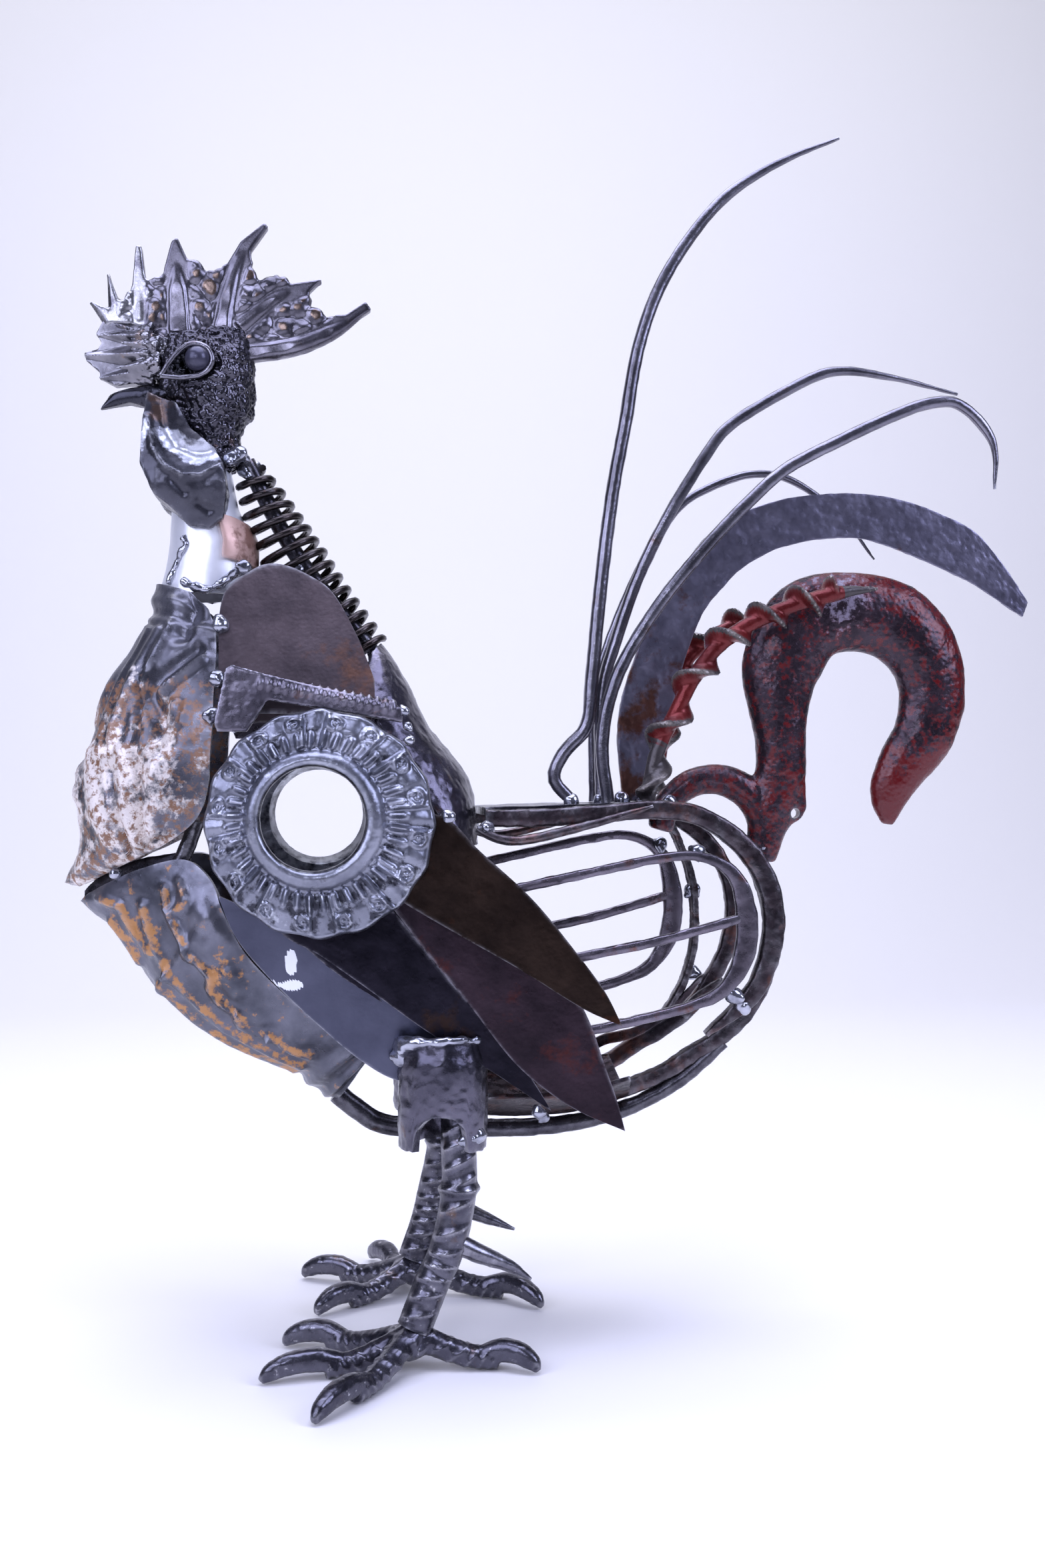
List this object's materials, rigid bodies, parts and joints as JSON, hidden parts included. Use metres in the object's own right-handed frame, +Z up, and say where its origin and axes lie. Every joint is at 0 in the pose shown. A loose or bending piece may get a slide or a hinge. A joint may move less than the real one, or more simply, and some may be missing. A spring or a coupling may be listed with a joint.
{
  "type": "scrap metal rooster sculpture",
  "caption": "Standing cock welded from scrap iron: spiked comb, spring neck, cast breast, ringed shoulder, blade wings, barred body, tine, sickle and hook tail, clawed feet.",
  "frame": {"origin": "centre of the object's box at floor level, under the body", "axes": "+Z up, -X toward the head, +X toward the tail, -Y toward the pictured side"},
  "size_m": [0.513, 0.2513, 0.6289],
  "materials": {
    "dark_steel": "oiled dark steel",
    "bright_steel": "ground bright steel",
    "weld_steel": "pitted weld",
    "cast_grey": "worn grey casting",
    "cast_breast": "casting with paint and rust left",
    "plate_brown": "brown scaled sheet",
    "plate_red": "red-brown scaled sheet",
    "plate_navy": "blue-black sheet",
    "plate_slate": "slate sheet with paint spots",
    "copper_tint": "heat-tinted steel",
    "red_paint": "worn red paint",
    "ball_black": "polished black"
  },
  "bodies": {
    "root": {"back_plate": "dark_steel", "back_saddle": "dark_steel", "belly_plate_far": "dark_steel", "belly_plate_near": "dark_steel", "belly_rod": "dark_steel", "breast_lower": "cast_breast", "breast_stay": "dark_steel", "breast_upper": "cast_breast", "comb": "bright_steel", "eye_ball_far": "ball_black", "eye_ball_near": "ball_black", "eye_ring_far": "weld_steel", "eye_ring_near": "weld_steel", "flank_plate_far": "plate_slate", "flank_plate_near": "plate_slate", "foot_far": "dark_steel", "foot_near": "dark_steel", "hackle_plate_far": "plate_brown", "hackle_plate_near": "plate_brown", "head": "weld_steel", "inner_hoop": "dark_steel", "lower_beak": "weld_steel", "nape_rod": "dark_steel", "neck_patch": "copper_tint", "neck_spring": "dark_steel", "neck_tube": "bright_steel", "rib_grate_far": "dark_steel", "rib_grate_near": "dark_steel", "rump_band_far": "dark_steel", "rump_band_middle": "dark_steel", "rump_band_near": "dark_steel", "saddle_feather_far": "dark_steel", "saddle_feather_near": "dark_steel", "shank_far": "dark_steel", "shank_near": "dark_steel", "shoulder_ring_far": "cast_grey", "shoulder_ring_near": "cast_grey", "spur_far": "dark_steel", "spur_near": "dark_steel", "tail_auger_far": "red_paint", "tail_auger_near": "red_paint", "tail_hook": "red_paint", "tail_sickle": "plate_navy", "tail_tine_1": "dark_steel", "tail_tine_2": "dark_steel", "tail_tine_3": "dark_steel", "tail_tine_4": "dark_steel", "thigh_far": "dark_steel", "thigh_near": "dark_steel", "toothed_bar_far": "dark_steel", "toothed_bar_near": "dark_steel", "upper_beak": "bright_steel", "wattle_far": "cast_grey", "wattle_near": "cast_grey", "wing_feather_1_far": "plate_brown", "wing_feather_1_near": "plate_brown", "wing_feather_2_far": "plate_red", "wing_feather_2_near": "plate_red", "wing_feather_3_far": "plate_navy", "wing_feather_3_near": "plate_navy"}
  },
  "joints": []
}
